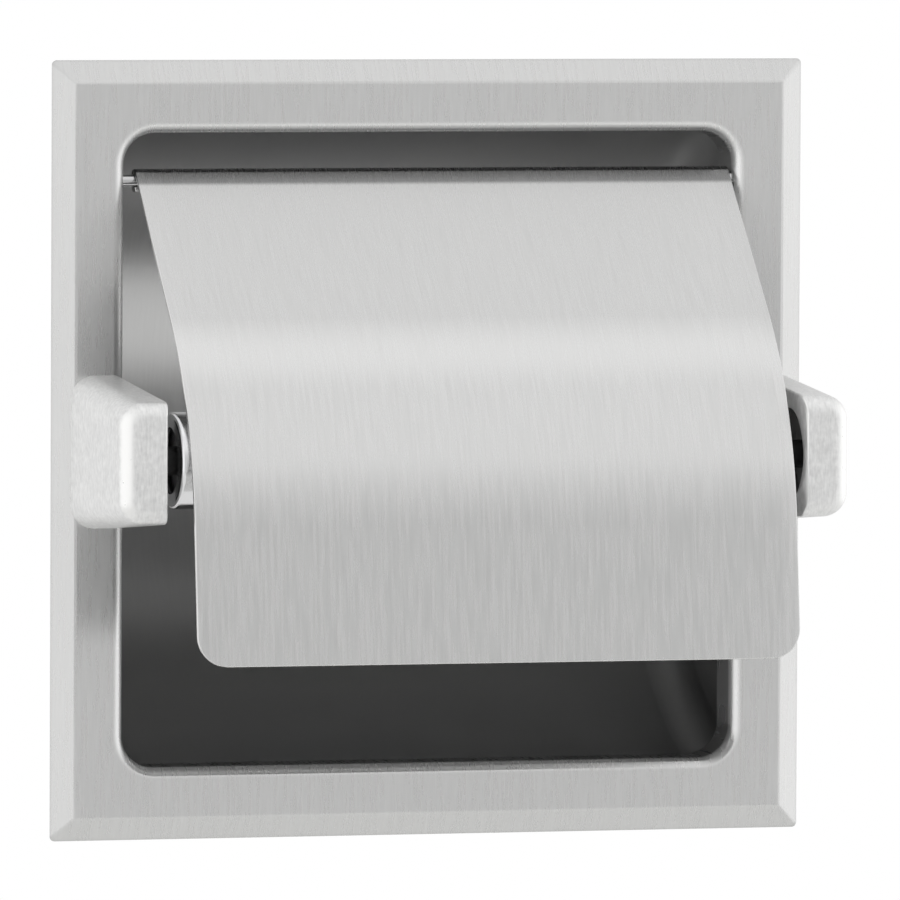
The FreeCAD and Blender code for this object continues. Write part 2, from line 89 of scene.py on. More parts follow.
# Studio: white surroundings, a pale floor and a light tent that the metal reflects.
floor_size = 1.6
floor_drop = 0.30
floor_colour = (0.86, 0.86, 0.85, 1.0)
floor_roughness = 0.9
tent_radius = 4.0
tent_segments = 64
tent_rings = 32
tent_strength = 1.4
# Brightness of the tent over the top, by the angle above the front in degrees.
tent_sweep = [
    (-180, 0.70), (-140, 0.90), (-110, 1.12), (-80, 1.10), (-60, 0.92), (-42, 0.72), (-30, 0.68),
    (0, 0.665), (8, 0.66), (13, 0.70), (22, 0.81), (31, 0.96), (50, 0.97), (59, 0.95), (68, 1.08),
    (76, 1.10), (84, 1.01), (90, 0.90), (120, 0.82), (180, 0.70),
]
# Brightness of its two sides, by the share of the way from the left end to the right end.
tent_sides = [
    (-1.0, 1.20), (-0.85, 1.20), (-0.69, 1.15), (-0.45, 0.80), (-0.30, 0.0),
    (0.42, 0.0), (0.60, 0.85), (0.75, 1.10), (0.93, 1.32), (1.0, 1.32),
]

# Hood: its section follows one sheet from the curl round the rod to the lower edge.
hood_sheet = 1.0 * MM
hood_curl_r = 2.35 * MM
hood_curl_turn = math.radians(255)
hood_flat = 40.0 * MM
hood_bend_r = 66.0 * MM
hood_bend_turn = math.radians(39.5)
hood_tail = 27.3 * MM
hood_corner_r = 6.0 * MM
hood_rest_gap = 0.3 * MM
hood_step = 0.3 * MM
hood_columns = 25
hood_edge_r = 0.25 * MM
hood_edge_steps = 3
hood_edge_angle = math.radians(50)
# Painted shade: a darker band along the hood's curl, standing in for the dark recess it reflects.
curl_shade_low = 52.7 * MM
curl_shade_high = 53.6 * MM
curl_shade_colour = grey(0.30)

# Opening with its rolled lip, which carries a painted highlight, painted shade on the collar behind it,
# and the recess behind it, which carries painted shade near its floor and ceiling.
opening_half = 63.3 * MM
opening_corner_r = 6.5 * MM
lip_r = 2.3 * MM
lip_full_share = 0.6
# Painted highlight on the lip, and painted shade on the collar behind it.
lip_highlight_colour = (0.79, 0.79, 0.785, 1.0)
collar_start = -0.4 * MM
collar_shade_colour = grey(0.42)
# Painted shade near the recess's floor and ceiling.
recess_floor_shade_start = -16 * MM
recess_floor_shade_end = -57 * MM
recess_floor_shade_colour = grey(0.27)
recess_ceiling_shade_start = 40 * MM
recess_ceiling_shade_end = 58 * MM
recess_ceiling_shade_colour = grey(0.5)

# Spring in the spindle's sleeve.
spring_wire_d = 1.0 * MM
spring_turns = 9.0
spring_steps_a_turn = 32
spring_wire_sides = 12

# Posts: painted shade in the rougher pocket that takes the spindle's end, and the polished upright
# edges, which carry a painted highlight.
pocket_r = 9.2 * MM
pocket_reach = 7.1 * MM
pocket_slack = 0.05 * MM
# Painted shade in the pocket.
pocket_shade_colour = grey(0.3)
pocket_roughness = 0.6
edge_turn_low = 0.15
edge_turn_high = 0.5
# Painted highlight on the upright edges, which are also really smoother.
edge_highlight_colour = (0.87, 0.87, 0.86, 1.0)
edge_roughness = 0.34

# Screws, nuts and the strap behind the recess.
post_screw = {"thread": 4.0 * MM, "pitch": 0.7 * MM, "head": 6.0 * MM, "head_height": 1.1 * MM}
post_screw_rise = 16 * MM
clamp_screw = {"thread": 5.0 * MM, "pitch": 0.8 * MM, "head": 9.0 * MM, "head_height": 3.0 * MM}
thread_sides = 24
thread_rows = 4
thread_lead_in = 1.25
thread_spare_turns = 2
thread_depth_share = 0.61
thread_start = 0.001 * MM
head_sides = 32
head_round_steps = 5
head_round_share = 0.45
driver_width_share = 0.2
driver_length_share = 0.6
driver_depth_share = 0.5
driver_second_share = 0.9
nut_hexagon_sides = 6
nut_ring_sides = 64
nut_chamfer = math.radians(30)
nut_bore_r = 2.58 * MM
nut_ring_share = 1.1
nut_prism_overrun = 0.5
strap_sheet = 2.0 * MM
strap_bend_r = 2.5 * MM
strap_bend_steps = 8
strap_edge_r = 0.35 * MM
strap_edge_steps = 3
strap_arm_z = 67.35 * MM
strap_hole_r = 2.7 * MM
seam_gap = 0.002 * MM

# Patterns of the finishes: how closely their noise repeats along X, Y and Z, and its levels.
upright_grain = (1800.0, 110.0, 110.0)
drawn_grain = (30.0, 1600.0, 1600.0)
polish_rings = (1200.0, 60.0, 60.0)
fine_mottle = (300.0, 300.0, 300.0)
coarse_mottle = (160.0, 160.0, 160.0)
streak_detail = 1.5
brush_marks = (2600.0, 900.0, 420.0)
brush_marks_detail = 4.0
brush_marks_roughness = 0.6
brush_marks_share = 0.6
cast_clouds = 900.0
cast_dark, cast_light = 0.88, 1.1
moulding_clouds = 300.0
moulding_clouds_detail = 3.0
moulding_grain = 4000.0
moulding_dark, moulding_light = 0.7, 1.5
noise_low = 0.3
noise_high = 0.7
patch_low = 0.35
patch_high = 0.65
relief_depth = 0.1 * MM
cloudy_relief = 0.05
cloudy_spread = 0.1
sheet_anisotropy = 0.9
recess_anisotropy = 0.6
# The direction across the grain leans a little off X, so that faces square to X have one too.
across_lean = 0.02


def add_camera():
    data = bpy.data.cameras.new("camera")
    data.lens = camera_lens
    data.sensor_width = camera_sensor
    data.clip_start = camera_near
    data.clip_end = camera_far
    back = Vector((
        -math.sin(camera_azimuth) * math.cos(camera_elevation),
        -math.cos(camera_azimuth) * math.cos(camera_elevation),
        math.sin(camera_elevation),
    ))
    level = Vector((0, 0, 1)).cross(back).normalized()
    rise = back.cross(level)
    right = level * math.cos(camera_roll) + rise * math.sin(camera_roll)
    up = rise * math.cos(camera_roll) - level * math.sin(camera_roll)
    place = back * camera_distance + right * camera_aim_right + up * camera_aim_up
    camera = bpy.data.objects.new("camera", data)
    turn = Matrix((right, up, back)).transposed().to_4x4()
    camera.matrix_world = Matrix.Translation(place) @ turn
    bpy.context.scene.collection.objects.link(camera)
    bpy.context.scene.camera = camera


def add_world():
    world = bpy.data.worlds.new("white_surroundings")
    world.use_nodes = True
    background = world.node_tree.nodes["Background"]
    background.inputs["Color"].default_value = (1.0, 1.0, 1.0, 1.0)
    background.inputs["Strength"].default_value = 1.0
    bpy.context.scene.world = world
    bpy.context.scene.view_settings.view_transform = "Standard"


def feed(tree, socket, value):
    """Links a socket to another one, or gives it a value."""
    if isinstance(value, bpy.types.NodeSocket):
        tree.links.new(value, socket)
    else:
        socket.default_value = value


def add_node(tree, kind, inputs=None, **settings):
    """Adds a node with its settings and feeds its inputs, which go by name or number."""
    node = tree.nodes.new(kind)
    for name, value in settings.items():
        setattr(node, name, value)
    for key, value in (inputs or {}).items():
        feed(tree, node.inputs[key], value)
    return node


def calculate(tree, operation, *values, kind="ShaderNodeMath"):
    node = add_node(tree, kind, dict(enumerate(values)), operation=operation)
    return node.outputs[0]


def vector_calculate(tree, operation, *values):
    return calculate(tree, operation, *values, kind="ShaderNodeVectorMath")


def object_place(tree):
    return add_node(tree, "ShaderNodeTexCoord").outputs["Object"]


def new_material(name):
    material = bpy.data.materials.new(name)
    material.use_nodes = True
    return material, material.node_tree, material.node_tree.nodes["Principled BSDF"]


def brightness_ramp(tree, value, first, last, stops):
    """Ramp of grey levels over a range of values, in shares of the tent's strength."""
    share = add_node(tree, "ShaderNodeMapRange", {"Value": value, "From Min": first, "From Max": last})
    ramp = add_node(tree, "ShaderNodeValToRGB", {"Fac": share.outputs["Result"]})
    ramp.color_ramp.interpolation = "LINEAR"
    elements = ramp.color_ramp.elements
    while len(elements) < len(stops):
        elements.new(0.5)
    for element, (at, level) in zip(elements, stops):
        element.position = (at - first) / (last - first)
        element.color = grey(level / tent_strength)
    return ramp.outputs["Color"]


def tent_cloth():
    """Glowing cloth, graded from the front over the top and brighter at both sides."""
    material = bpy.data.materials.new("tent_cloth")
    material.use_nodes = True
    tree = material.node_tree
    tree.nodes.clear()
    way = vector_calculate(tree, "NORMALIZE", object_place(tree))
    parts = add_node(tree, "ShaderNodeSeparateXYZ", {"Vector": way}).outputs
    front = calculate(tree, "MULTIPLY", parts["Y"], -1.0)
    angle = calculate(tree, "DEGREES", calculate(tree, "ARCTAN2", parts["Z"], front))
    sweep = brightness_ramp(tree, angle, -180, 180, tent_sweep)
    sides = brightness_ramp(tree, parts["X"], -1, 1, tent_sides)
    level = calculate(tree, "MAXIMUM", sweep, sides)
    emission = add_node(tree, "ShaderNodeEmission", {"Color": level, "Strength": tent_strength})
    add_node(tree, "ShaderNodeOutputMaterial", {"Surface": emission.outputs[0]})
    return material


def floor_paint():
    material, _, shader = new_material("floor_paint")
    shader.inputs["Base Color"].default_value = floor_colour
    shader.inputs["Roughness"].default_value = floor_roughness
    return material


def new_object(name, mesh, material):
    mesh.materials.clear()
    mesh.materials.append(material)
    piece = bpy.data.objects.new(name, mesh)
    bpy.context.scene.collection.objects.link(piece)
    return piece


def add_stage():
    half = floor_size / 2
    z = cad_box[0].z - floor_drop
    mesh = bpy.data.meshes.new("floor")
    corners = [(-half, -half, z), (half, -half, z), (half, half, z), (-half, half, z)]
    mesh.from_pydata(corners, [], [(0, 1, 2, 3)])
    floor = new_object("floor", mesh, floor_paint())
    bpy.ops.mesh.primitive_uv_sphere_add(
        segments=tent_segments, ring_count=tent_rings, radius=tent_radius)
    tent = bpy.context.object
    tent.name = "light_tent"
    tent.data.materials.append(tent_cloth())
    tent.visible_camera = False


def own_place(tree, axis):
    return add_node(tree, "ShaderNodeSeparateXYZ", {"Vector": object_place(tree)}).outputs[axis]


def stretched(tree, place, stretch):
    return add_node(tree, "ShaderNodeMapping", {"Vector": place, "Scale": stretch}).outputs["Vector"]


def noise(tree, place, scale=1.0, detail=2.0, roughness=0.5):
    pattern = add_node(tree, "ShaderNodeTexNoise", {
        "Vector": place, "Scale": scale, "Detail": detail, "Roughness": roughness,
    })
    return pattern.outputs["Fac"]


def shade(colour, factor):
    return [min(channel * factor, 1.0) for channel in colour] + [1.0]


def two_tone(tree, share, first, second):
    """First colour, which gives way to the second where the share is high."""
    tone = add_node(tree, "ShaderNodeMix", {"Factor": share, "A": first, "B": second}, data_type="RGBA")
    return tone.outputs["Result"]


def soft_step(tree, value, none, full):
    """Share that rises smoothly from 0 to 1 between two values."""
    step = add_node(tree, "ShaderNodeMapRange", {
        "Value": value, "From Min": none, "From Max": full,
    }, interpolation_type="SMOOTHSTEP")
    return step.outputs["Result"]


def varied_roughness(tree, pattern, roughness, spread):
    """Roughness that follows a pattern, as far as the spread to both sides."""
    varied = add_node(tree, "ShaderNodeMapRange", {
        "Value": pattern, "From Min": noise_low, "From Max": noise_high,
        "To Min": roughness - spread, "To Max": roughness + spread,
    })
    return varied.outputs["Result"]


def emboss(tree, shader, pattern, strength):
    relief = add_node(tree, "ShaderNodeBump", {
        "Strength": strength, "Distance": relief_depth, "Height": pattern,
    })
    feed(tree, shader.inputs["Normal"], relief.outputs["Normal"])


def brushed_metal(name, colour, roughness, stretch,
                  anisotropy=0.0, grain=0.05, bump=0.03, spread=0.04, metal=1.0):
    """Metal whose grain runs along the axes with the smallest stretch."""
    material, tree, shader = new_material(name)
    shader.inputs["Metallic"].default_value = metal
    shader.inputs["Anisotropic"].default_value = anisotropy
    streaks = noise(tree, stretched(tree, object_place(tree), stretch), detail=streak_detail)
    tone = two_tone(tree, streaks, shade(colour, 1 - grain), shade(colour, 1 + grain))
    feed(tree, shader.inputs["Base Color"], tone)
    feed(tree, shader.inputs["Roughness"], varied_roughness(tree, streaks, roughness, spread))
    emboss(tree, shader, streaks, bump)
    across = add_node(tree, "ShaderNodeCombineXYZ", {"X": 1.0, "Y": across_lean})
    feed(tree, shader.inputs["Tangent"], across.outputs["Vector"])
    return material


def blend_colour(material, share, colour):
    """Lays a second colour over a metal's own where the share is high."""
    tree = material.node_tree
    socket = tree.nodes["Principled BSDF"].inputs["Base Color"]
    feed(tree, socket, two_tone(tree, share, socket.links[0].from_socket, colour))


def roll_band(material):
    """Painted shade: a darker band along the hood's top, standing in for the dark recess that the curl
    reflects.
    """
    tree = material.node_tree
    blend_colour(material, soft_step(tree, own_place(tree, "Z"), curl_shade_low, curl_shade_high), curl_shade_colour)


def dull_recess(material):
    """Painted shade: the recess grows darker towards its floor, and a little towards its ceiling,
    standing in for the dark it reflects there.
    """
    tree = material.node_tree
    height = own_place(tree, "Z")
    near_floor = soft_step(tree, height, recess_floor_shade_start, recess_floor_shade_end)
    near_ceiling = soft_step(tree, height, recess_ceiling_shade_start, recess_ceiling_shade_end)
    blend_colour(material, near_floor, recess_floor_shade_colour)
    blend_colour(material, near_ceiling, recess_ceiling_shade_colour)


def bright_lip(material):
    """Painted highlight on the rolled lip round the opening, lighter than the flange, and painted shade
    on the collar behind it.
    """
    tree = material.node_tree
    flat = vector_calculate(tree, "MULTIPLY", object_place(tree), (1.0, 0.0, 1.0))
    quarter = vector_calculate(tree, "ABSOLUTE", flat)
    straight = opening_half - opening_corner_r
    corner = vector_calculate(tree, "SUBTRACT", quarter, (straight, 0.0, straight))
    corner = vector_calculate(tree, "MAXIMUM", corner, (0.0, 0.0, 0.0))
    reach = add_node(tree, "ShaderNodeVectorMath", {0: corner}, operation="LENGTH").outputs["Value"]
    lip_start = opening_corner_r + lip_r
    lip_full = opening_corner_r + lip_full_share * lip_r
    on_lip = soft_step(tree, reach, lip_start, lip_full)
    on_collar = soft_step(tree, own_place(tree, "Y"), collar_start, collar_start + lip_r / 2)
    blend_colour(material, on_lip, lip_highlight_colour)
    blend_colour(material, on_collar, collar_shade_colour)


def pocket_share(tree):
    """Share that is 1 on the walls and floor of the round pocket in either post."""
    place = add_node(tree, "ShaderNodeSeparateXYZ", {"Vector": object_place(tree)}).outputs
    spindle = joints["spindle_spin"]["pos_m"]
    reach = calculate(tree, "SUBTRACT", place["Y"], spindle[1])
    rise = calculate(tree, "SUBTRACT", place["Z"], spindle[2])
    squares = [calculate(tree, "POWER", distance, 2.0) for distance in (reach, rise)]
    away = calculate(tree, "SQRT", calculate(tree, "ADD", *squares))
    side = calculate(tree, "ABSOLUTE", place["X"])
    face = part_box("post_right")[0].x
    near = calculate(tree, "LESS_THAN", away, pocket_r + pocket_slack)
    past_face = calculate(tree, "GREATER_THAN", side, face + pocket_slack)
    short = calculate(tree, "LESS_THAN", side, face + pocket_reach)
    return calculate(tree, "MULTIPLY", near, calculate(tree, "MULTIPLY", past_face, short))


def upright_edge_share(tree):
    """Share that is high on the round upright edges, which face between X and Y."""
    facing = add_node(tree, "ShaderNodeTexCoord").outputs["Normal"]
    facing = add_node(tree, "ShaderNodeSeparateXYZ", {"Vector": facing}).outputs
    both = calculate(tree, "ABSOLUTE", calculate(tree, "MULTIPLY", facing["X"], facing["Y"]))
    return soft_step(tree, both, edge_turn_low, edge_turn_high)


def cast_metal(name, colour, roughness, metal):
    """Plated casting: brush marks over a cloudy polish, polished upright edges with a painted highlight,
    and rougher pockets in painted shade.
    """
    material, tree, shader = new_material(name)
    shader.inputs["Metallic"].default_value = metal
    place = object_place(tree)
    marks = stretched(tree, place, brush_marks)
    marks = noise(tree, marks, detail=brush_marks_detail, roughness=brush_marks_roughness)
    clouds = noise(tree, place, cast_clouds)
    marks = calculate(tree, "MULTIPLY", marks, brush_marks_share)
    clouds = calculate(tree, "MULTIPLY", clouds, 1 - brush_marks_share)
    mixed = calculate(tree, "ADD", marks, clouds)
    patches = add_node(tree, "ShaderNodeMapRange", {
        "Value": mixed, "From Min": patch_low, "From Max": patch_high,
    }).outputs["Result"]
    edge = upright_edge_share(tree)
    pocket = pocket_share(tree)
    tone = two_tone(tree, patches, shade(colour, cast_dark), shade(colour, cast_light))
    # Painted highlight on the upright edges.
    tone = two_tone(tree, edge, tone, edge_highlight_colour)
    # Painted shade in the pockets.
    tone = two_tone(tree, pocket, tone, pocket_shade_colour)
    feed(tree, shader.inputs["Base Color"], tone)
    rough = varied_roughness(tree, mixed, roughness, cloudy_spread)
    polish = calculate(tree, "MULTIPLY", edge, roughness - edge_roughness)
    smooth = calculate(tree, "SUBTRACT", rough, polish)
    dull = calculate(tree, "MULTIPLY", pocket, pocket_roughness)
    feed(tree, shader.inputs["Roughness"], calculate(tree, "MAXIMUM", smooth, dull))
    emboss(tree, shader, mixed, cloudy_relief)
    return material


def moulding(name, colour, roughness):
    """Dark moulded plastic with a cloudy sheen and a faint grain."""
    material, tree, shader = new_material(name)
    place = object_place(tree)
    clouds = noise(tree, place, moulding_clouds, moulding_clouds_detail)
    grain = noise(tree, place, moulding_grain)
    tone = two_tone(tree, clouds, shade(colour, moulding_dark), shade(colour, moulding_light))
    feed(tree, shader.inputs["Base Color"], tone)
    feed(tree, shader.inputs["Roughness"], varied_roughness(tree, clouds, roughness, cloudy_spread))
    emboss(tree, shader, grain, cloudy_relief)
    return material


def new_tree(name, sizes):
    """Geometry tree with one named input for each size."""
    tree = bpy.data.node_groups.new(name, "GeometryNodeTree")
    tree.interface.new_socket("Geometry", in_out="INPUT", socket_type="NodeSocketGeometry")
    tree.interface.new_socket("Geometry", in_out="OUTPUT", socket_type="NodeSocketGeometry")
    for size, value in sizes.items():
        kind = {int: "NodeSocketInt", float: "NodeSocketFloat"}.get(type(value), "NodeSocketVector")
        tree.interface.new_socket(size, in_out="INPUT", socket_type=kind)
    return tree, add_node(tree, "NodeGroupInput").outputs


def finish_tree(tree, geometry, material):
    """Ends a tree in plain geometry with its material."""
    real = add_node(tree, "GeometryNodeRealizeInstances", {"Geometry": geometry})
    dressed = add_node(tree, "GeometryNodeSetMaterial", {
        "Geometry": real.outputs["Geometry"], "Material": material,
    })
    add_node(tree, "NodeGroupOutput", {"Geometry": dressed.outputs["Geometry"]})


def grown(name, tree, sizes, *finishing):
    """Plain mesh of what a tree makes from its sizes, with finishing modifiers."""
    seed = bpy.data.objects.new(name, bpy.data.meshes.new(name))
    bpy.context.scene.collection.objects.link(seed)
    modifier = seed.modifiers.new(name, "NODES")
    modifier.node_group = tree
    for item in tree.interface.items_tree:
        if item.in_out == "INPUT" and item.name in sizes:
            modifier[item.identifier] = sizes[item.name]
    for kind, settings in finishing:
        extra = seed.modifiers.new(kind, kind)
        for setting, value in settings.items():
            setattr(extra, setting, value)
    graph = bpy.context.evaluated_depsgraph_get()
    mesh = bpy.data.meshes.new_from_object(seed.evaluated_get(graph), depsgraph=graph)
    mesh.name = name
    for face in mesh.polygons:
        face.material_index = 0
    bpy.data.objects.remove(seed)
    return new_object(name, mesh, mesh.materials[-1])


def settle(piece, node, body):
    """Makes a piece stand for a node and ride on its body."""
    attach(piece, body)
    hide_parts(node)


def hood_tree(sizes, material):
    """Sheet that runs round the curl, down the upper flat, round the bend and down the lower flat."""
    tree, size = new_tree("hood_sheet", sizes)
    curl_length = calculate(tree, "MULTIPLY", size["Curl radius"], size["Curl turn"])
    bend_length = calculate(tree, "MULTIPLY", size["Bend radius"], size["Bend turn"])
    bend_start = calculate(tree, "ADD", curl_length, size["Flat"])
    bend_end = calculate(tree, "ADD", bend_start, bend_length)
    length = calculate(tree, "ADD", bend_end, size["Tail"])
    grid = add_node(tree, "GeometryNodeMeshGrid", {
        "Size X": 1.0, "Size Y": 1.0, "Vertices X": size["Columns"], "Vertices Y": size["Rows"],
    })
    spot = add_node(tree, "GeometryNodeInputPosition").outputs["Position"]
    spot = add_node(tree, "ShaderNodeSeparateXYZ", {"Vector": spot}).outputs
    along = calculate(tree, "MULTIPLY", calculate(tree, "ADD", spot["Y"], 0.5), length)
    step = calculate(tree, "DIVIDE", length, calculate(tree, "SUBTRACT", size["Rows"], 1.0))

    # Heading of the sheet half a step on, so that the steps add up to the true section.
    ahead = calculate(tree, "ADD", along, calculate(tree, "MULTIPLY", step, 0.5))
    heading = size["Start heading"]
    curl = (0.0, curl_length, size["Curl turn"])
    bend = (bend_start, bend_end, size["Bend turn"])
    for first, last, turn in (curl, bend):
        part = add_node(tree, "ShaderNodeMapRange", {
            "Value": ahead, "From Min": first, "From Max": last, "To Min": 0.0, "To Max": turn,
        })
        heading = calculate(tree, "ADD", heading, part.outputs["Result"])
    pace = add_node(tree, "ShaderNodeCombineXYZ", {
        "Y": calculate(tree, "COSINE", heading), "Z": calculate(tree, "SINE", heading),
    })
    pace = vector_calculate(tree, "SCALE", pace.outputs["Vector"])
    feed(tree, pace.node.inputs["Scale"], step)
    number = add_node(tree, "GeometryNodeInputIndex").outputs["Index"]
    column = calculate(tree, "FLOOR", calculate(tree, "DIVIDE", number, size["Rows"]))
    walk = add_node(tree, "GeometryNodeAccumulateField", data_type="FLOAT_VECTOR", domain="POINT")
    feed(tree, walk.inputs["Value"], pace)
    feed(tree, walk.inputs["Group ID"], column)

    # Width, drawn in along a quarter circle at the two lower corners.
    radius = size["Corner radius"]
    past = calculate(tree, "SUBTRACT", along, calculate(tree, "SUBTRACT", length, radius))
    past = calculate(tree, "MAXIMUM", past, 0.0)
    squares = [calculate(tree, "POWER", distance, 2.0) for distance in (radius, past)]
    left_over = calculate(tree, "SUBTRACT", *squares)
    corner = calculate(tree, "SQRT", calculate(tree, "MAXIMUM", left_over, 0.0))
    drawn_in = calculate(tree, "SUBTRACT", radius, corner)
    width = calculate(tree, "SUBTRACT", size["Width"], calculate(tree, "MULTIPLY", drawn_in, 2.0))
    across = calculate(tree, "MULTIPLY", spot["X"], width)
    across = add_node(tree, "ShaderNodeCombineXYZ", {"X": across}).outputs["Vector"]
    place = vector_calculate(tree, "ADD", walk.outputs["Trailing"], across)
    place = vector_calculate(tree, "ADD", place, size["Start"])
    face = add_node(tree, "GeometryNodeSetPosition", {
        "Geometry": grid.outputs["Mesh"], "Position": place,
    })
    outward = add_node(tree, "GeometryNodeFlipFaces", {"Mesh": face.outputs["Geometry"]})
    finish_tree(tree, outward.outputs["Mesh"], material)
    return tree


def hood_lean(rod):
    """Angle between the hood's upper flat and the upright when the hood rests on the spindle."""
    low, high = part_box("spindle_sleeve")
    spindle = (low + high) / 2 - rod
    bend = Vector((0, hood_bend_r - hood_curl_r, -hood_flat))
    spindle.x = 0
    reach = hood_bend_r - hood_sheet - (high.z - low.z) / 2 - hood_rest_gap
    squares = bend.length_squared + spindle.length_squared - reach ** 2
    cosine = squares / (2 * bend.length * spindle.length)
    bend_way = math.atan2(bend.z, bend.y)
    spindle_way = math.atan2(spindle.z, spindle.y)
    return bend_way - spindle_way - math.acos(cosine)


def make_hood(material):
    low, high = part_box("hood")
    rod = Vector(joints["hood_hinge"]["pos_m"])
    curl_end = math.pi - hood_curl_turn - hood_lean(rod)
    start = rod + hood_curl_r * Vector((0, math.cos(curl_end), math.sin(curl_end)))
    start.x = (low.x + high.x) / 2
    length = hood_curl_r * hood_curl_turn + hood_flat + hood_bend_r * hood_bend_turn + hood_tail
    sizes = {
        "Width": high.x - low.x,
        "Curl radius": hood_curl_r,
        "Curl turn": hood_curl_turn,
        "Flat": hood_flat,
        "Bend radius": hood_bend_r,
        "Bend turn": hood_bend_turn,
        "Tail": hood_tail,
        "Corner radius": hood_corner_r,
        "Start": tuple(start),
        "Start heading": curl_end + QUARTER_TURN,
        "Rows": round(length / hood_step),
        "Columns": hood_columns,
    }
    tree = hood_tree(sizes, material)
    sheet = ("SOLIDIFY", {"thickness": hood_sheet, "offset": -1.0, "use_even_offset": True})
    edges = ("BEVEL", {
        "width": hood_edge_r, "segments": hood_edge_steps,
        "limit_method": "ANGLE", "angle_limit": hood_edge_angle,
    })
    shading = ("WEIGHTED_NORMAL", {"keep_sharp": True})
    hood = grown("hood_sheet", tree, sizes, sheet, edges, shading)
    for face in hood.data.polygons:
        face.use_smooth = True
    settle(hood, "hood", "hood")


def pick(tree, number, values):
    """Value chosen from a list by a whole number."""
    switch = add_node(tree, "GeometryNodeIndexSwitch", data_type="FLOAT")
    while len(switch.index_switch_items) < len(values):
        switch.index_switch_items.new()
    feed(tree, switch.inputs["Index"], number)
    for item, value in enumerate(values):
        feed(tree, switch.inputs[str(item)], value)
    return switch.outputs["Output"]


def round_grid(tree, sides, rows):
    """Grid to be wrapped round the Z axis, with each point's row number and turn."""
    grid = add_node(tree, "GeometryNodeMeshGrid", {
        "Size X": 1.0, "Size Y": 1.0, "Vertices X": sides + 1, "Vertices Y": rows,
    })
    number = add_node(tree, "GeometryNodeInputIndex").outputs["Index"]
    row = calculate(tree, "MODULO", number, rows)
    column = calculate(tree, "FLOOR", calculate(tree, "DIVIDE", number, rows))
    return grid.outputs["Mesh"], row, calculate(tree, "DIVIDE", column, float(sides))


def wrapped(tree, grid, radius, turn, height):
    """Grid points set round the Z axis, with the seam and the poles closed."""
    angle = calculate(tree, "MULTIPLY", turn, math.tau)
    place = add_node(tree, "ShaderNodeCombineXYZ", {
        "X": calculate(tree, "MULTIPLY", radius, calculate(tree, "COSINE", angle)),
        "Y": calculate(tree, "MULTIPLY", radius, calculate(tree, "SINE", angle)),
        "Z": height,
    })
    shape = add_node(tree, "GeometryNodeSetPosition", {
        "Geometry": grid, "Position": place.outputs["Vector"],
    })
    closed = add_node(tree, "GeometryNodeMergeByDistance", {
        "Geometry": shape.outputs["Geometry"], "Distance": seam_gap,
    })
    return closed.outputs["Geometry"]


def turned(tree, profile, sides):
    """Surface of revolution through pairs of radius and height about the Z axis."""
    grid, row, turn = round_grid(tree, sides, len(profile))
    radius, height = (pick(tree, row, values) for values in zip(*profile))
    return wrapped(tree, grid, radius, turn, height)


def threaded_shank(tree, size, rows):
    """Shank from the plane z = 0 down to its tip, with a helical thread of a few rows a turn."""
    grid, row, turn = round_grid(tree, thread_sides, rows)
    turns = calculate(tree, "ADD", calculate(tree, "DIVIDE", row, float(thread_rows)), turn)
    turns = calculate(tree, "SUBTRACT", turns, thread_lead_in)
    depth = calculate(tree, "MULTIPLY", turns, size["Pitch"])
    crest = calculate(tree, "MULTIPLY", size["Thread diameter"], 0.5)
    cut = calculate(tree, "MULTIPLY", size["Pitch"], thread_depth_share)
    root = calculate(tree, "SUBTRACT", crest, cut)
    kind = calculate(tree, "MODULO", row, float(thread_rows))
    radius = pick(tree, kind, [crest, root, root, crest])
    at_end = calculate(tree, "GREATER_THAN", depth, size["Length"])
    in_head = calculate(tree, "LESS_THAN", depth, thread_start)
    past = calculate(tree, "MAXIMUM", at_end, in_head)
    above_root = calculate(tree, "SUBTRACT", radius, root)
    radius = calculate(tree, "SUBTRACT", radius, calculate(tree, "MULTIPLY", past, above_root))
    last = calculate(tree, "COMPARE", row, float(rows - 1), 0.5)
    first = calculate(tree, "COMPARE", row, 0.0, 0.5)
    inside = calculate(tree, "SUBTRACT", 1.0, calculate(tree, "MAXIMUM", first, last))
    radius = calculate(tree, "MULTIPLY", radius, inside)
    depth = calculate(tree, "MINIMUM", calculate(tree, "MAXIMUM", depth, 0.0), size["Length"])
    shank = wrapped(tree, grid, radius, turn, calculate(tree, "MULTIPLY", depth, -1.0))
    return add_node(tree, "GeometryNodeFlipFaces", {"Mesh": shank}).outputs["Mesh"]


def cut_out(tree, shape, tool):
    cut = add_node(tree, "GeometryNodeMeshBoolean", {
        "Mesh 1": shape, "Mesh 2": tool,
    }, operation="DIFFERENCE", solver="EXACT")
    return cut.outputs["Mesh"]


